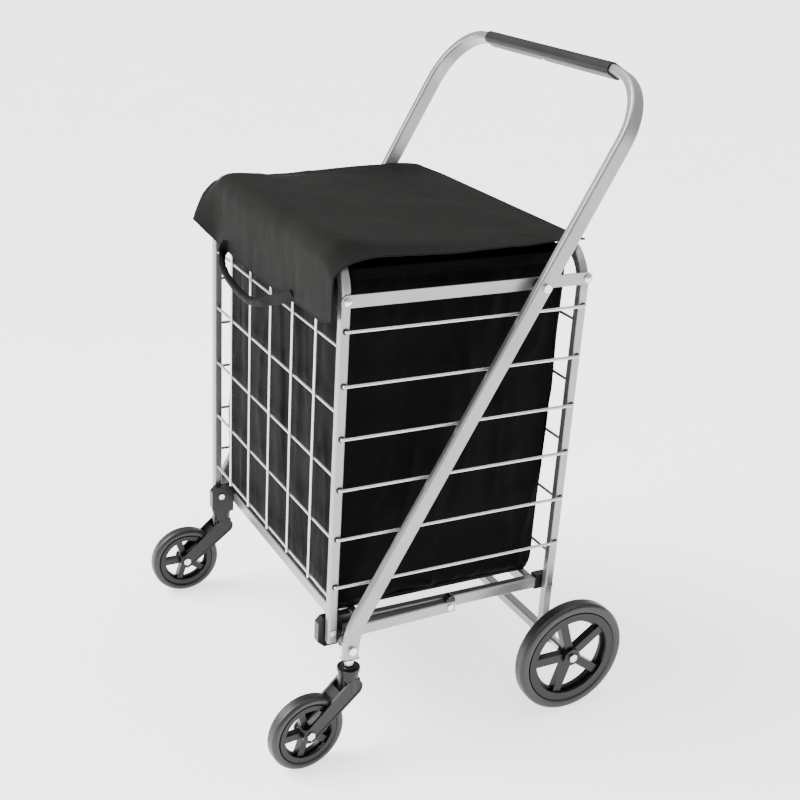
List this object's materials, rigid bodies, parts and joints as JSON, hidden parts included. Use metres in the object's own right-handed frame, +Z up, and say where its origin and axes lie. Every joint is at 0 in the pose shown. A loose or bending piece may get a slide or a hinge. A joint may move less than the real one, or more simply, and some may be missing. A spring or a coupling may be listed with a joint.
{
  "type": "shopping cart",
  "caption": "Folding personal shopping cart: wire-sided tubular frame with a fabric bag and flap lid, tall handle frame, swivel front casters and larger rear wheels.",
  "frame": {"origin": "centre of the bounding box in plan, on the floor", "axes": "+Z up; -Y is the front, where the casters are; +Y is the side with the handle; +X is towards the left side as seen by the person pushing"},
  "size_m": [0.6558, 0.6194, 1.0261],
  "materials": {
    "frame_silver": "satin silver-grey coating",
    "wire": "bright wire",
    "zinc": "zinc plated, semi-bright",
    "black_plastic": "moulded, semi-gloss",
    "wheel_plastic": "moulded black",
    "tyre": "matt dark rubber",
    "grip": "matt moulded",
    "bag_fabric": "black woven synthetic",
    "lid_fabric": "dark charcoal synthetic",
    "strap_fabric": "padded black webbing"
  },
  "bodies": {
    "rear_frame": {"rear_frame_tube": "frame_silver", "rear_end_caps": "black_plastic", "rear_rod_grommets": "black_plastic", "rear_top_rivets": "zinc", "rear_base_rivets": "zinc", "rear_grid": "wire", "rear_axle_tube": "frame_silver", "rear_axle_bolts": "zinc", "bag": "bag_fabric"},
    "top_bars": {"top_bar_left": "frame_silver", "top_bar_right": "frame_silver"},
    "front_frame": {"front_frame_tube": "frame_silver", "front_end_caps": "black_plastic", "front_rod_grommets": "black_plastic", "front_top_rivets": "zinc", "front_base_rivets": "zinc", "front_grid": "wire"},
    "handle_frame": {"handle_frame_tube": "frame_silver", "handle_grip": "grip", "grip_screw": "zinc", "handle_pivot_spacers": "black_plastic", "handle_pivot_bolts": "zinc", "yoke_pivot_bolts": "zinc", "caster_plugs": "black_plastic", "caster_stems": "zinc"},
    "yoke": {"yoke_tube": "frame_silver", "yoke_lugs": "frame_silver", "yoke_end_rivets": "zinc", "yoke_bumpers": "black_plastic"},
    "base": {"base_frame": "frame_silver", "front_hook_blocks": "black_plastic", "rear_pivot_blocks": "black_plastic"},
    "lid": {"lid_panel": "lid_fabric", "carry_strap": "strap_fabric"},
    "rods_1": {"side_rods_1": "wire"},
    "rods_2": {"side_rods_2": "wire"},
    "rods_3": {"side_rods_3": "wire"},
    "rods_4": {"side_rods_4": "wire"},
    "rods_5": {"side_rods_5": "wire"},
    "rods_6": {"side_rods_6": "wire"},
    "caster_left": {"caster_fork_left": "black_plastic", "caster_cap_left": "black_plastic", "caster_axle_left": "zinc"},
    "caster_wheel_left": {"caster_tyre_left": "tyre", "caster_rim_left": "wheel_plastic"},
    "rear_wheel_left": {"rear_tyre_left": "tyre", "rear_rim_left": "wheel_plastic"},
    "caster_right": {"caster_fork_right": "black_plastic", "caster_cap_right": "black_plastic", "caster_axle_right": "zinc"},
    "caster_wheel_right": {"caster_tyre_right": "tyre", "caster_rim_right": "wheel_plastic"},
    "rear_wheel_right": {"rear_tyre_right": "tyre", "rear_rim_right": "wheel_plastic"}
  },
  "joints": [
    {"name": "fold", "type": "hinge", "parent": "rear_frame", "child": "top_bars", "pos_m": [0, 0.19575, 0.728], "axis": [-1, 0, 0], "range_deg": [0, 65], "deforming": ["bag", "lid_panel", "carry_strap"]},
    {"name": "front_frame_pivot", "type": "hinge", "parent": "top_bars", "child": "front_frame", "pos_m": [0, -0.19425, 0.728], "axis": [1, 0, 0], "range_deg": [0, 66]},
    {"name": "handle_pivot", "type": "hinge", "parent": "top_bars", "child": "handle_frame", "pos_m": [0, 0.10775, 0.728], "axis": [1, 0, 0], "range_deg": [0, 80.85]},
    {"name": "yoke_pivot", "type": "hinge", "parent": "handle_frame", "child": "yoke", "pos_m": [0, -0.17425, 0.186], "axis": [1, 0, 0], "range_deg": [0, 41.57]},
    {"name": "base_pivot", "type": "hinge", "parent": "rear_frame", "child": "base", "pos_m": [0, 0.19575, 0.205], "axis": [-1, 0, 0], "range_deg": [0, 66]},
    {"name": "rod_pivot_1", "type": "hinge", "parent": "rear_frame", "child": "rods_1", "pos_m": [0, 0.19575, 0.285], "axis": [-1, 0, 0], "range_deg": [0, 66]},
    {"name": "rod_pivot_2", "type": "hinge", "parent": "rear_frame", "child": "rods_2", "pos_m": [0, 0.19575, 0.365], "axis": [-1, 0, 0], "range_deg": [0, 66]},
    {"name": "rod_pivot_3", "type": "hinge", "parent": "rear_frame", "child": "rods_3", "pos_m": [0, 0.19575, 0.445], "axis": [-1, 0, 0], "range_deg": [0, 66]},
    {"name": "rod_pivot_4", "type": "hinge", "parent": "rear_frame", "child": "rods_4", "pos_m": [0, 0.19575, 0.525], "axis": [-1, 0, 0], "range_deg": [0, 66]},
    {"name": "rod_pivot_5", "type": "hinge", "parent": "rear_frame", "child": "rods_5", "pos_m": [0, 0.19575, 0.605], "axis": [-1, 0, 0], "range_deg": [0, 66]},
    {"name": "rod_pivot_6", "type": "hinge", "parent": "rear_frame", "child": "rods_6", "pos_m": [0, 0.19575, 0.685], "axis": [-1, 0, 0], "range_deg": [0, 66]},
    {"name": "caster_swivel_left", "type": "hinge", "parent": "handle_frame", "child": "caster_left", "pos_m": [0.281, -0.17575, 0.145], "axis": [0, 0, 1], "continuous": true},
    {"name": "caster_swivel_right", "type": "hinge", "parent": "handle_frame", "child": "caster_right", "pos_m": [-0.281, -0.17575, 0.145], "axis": [0, 0, 1], "continuous": true},
    {"name": "caster_spin_left", "type": "hinge", "parent": "caster_left", "child": "caster_wheel_left", "pos_m": [0.28978, -0.24721, 0.062], "axis": [0.9925, 0.1219, 0], "continuous": true},
    {"name": "caster_spin_right", "type": "hinge", "parent": "caster_right", "child": "caster_wheel_right", "pos_m": [-0.281, -0.24775, 0.062], "axis": [1, 0, 0], "continuous": true},
    {"name": "rear_wheel_spin_left", "type": "hinge", "parent": "rear_frame", "child": "rear_wheel_left", "pos_m": [0.312, 0.21175, 0.098], "axis": [1, 0, 0], "continuous": true},
    {"name": "rear_wheel_spin_right", "type": "hinge", "parent": "rear_frame", "child": "rear_wheel_right", "pos_m": [-0.312, 0.21175, 0.098], "axis": [1, 0, 0], "continuous": true},
    {"name": "lid_hinge", "type": "hinge", "parent": "rear_frame", "child": "lid", "pos_m": [0, 0.19575, 0.779], "axis": [-1, 0, 0], "range_deg": [0, 95]}
  ],
  "couplings": [
    {"joint": "front_frame_pivot", "follows": "fold", "ratio": 1},
    {"joint": "handle_pivot", "follows": "fold", "ratio": 1.2285},
    {"joint": "yoke_pivot", "follows": "fold", "ratio": 0.62418},
    {"joint": "base_pivot", "follows": "fold", "ratio": 1},
    {"joint": "rod_pivot_1", "follows": "fold", "ratio": 1},
    {"joint": "rod_pivot_2", "follows": "fold", "ratio": 1},
    {"joint": "rod_pivot_3", "follows": "fold", "ratio": 1},
    {"joint": "rod_pivot_4", "follows": "fold", "ratio": 1},
    {"joint": "rod_pivot_5", "follows": "fold", "ratio": 1},
    {"joint": "rod_pivot_6", "follows": "fold", "ratio": 1}
  ]
}
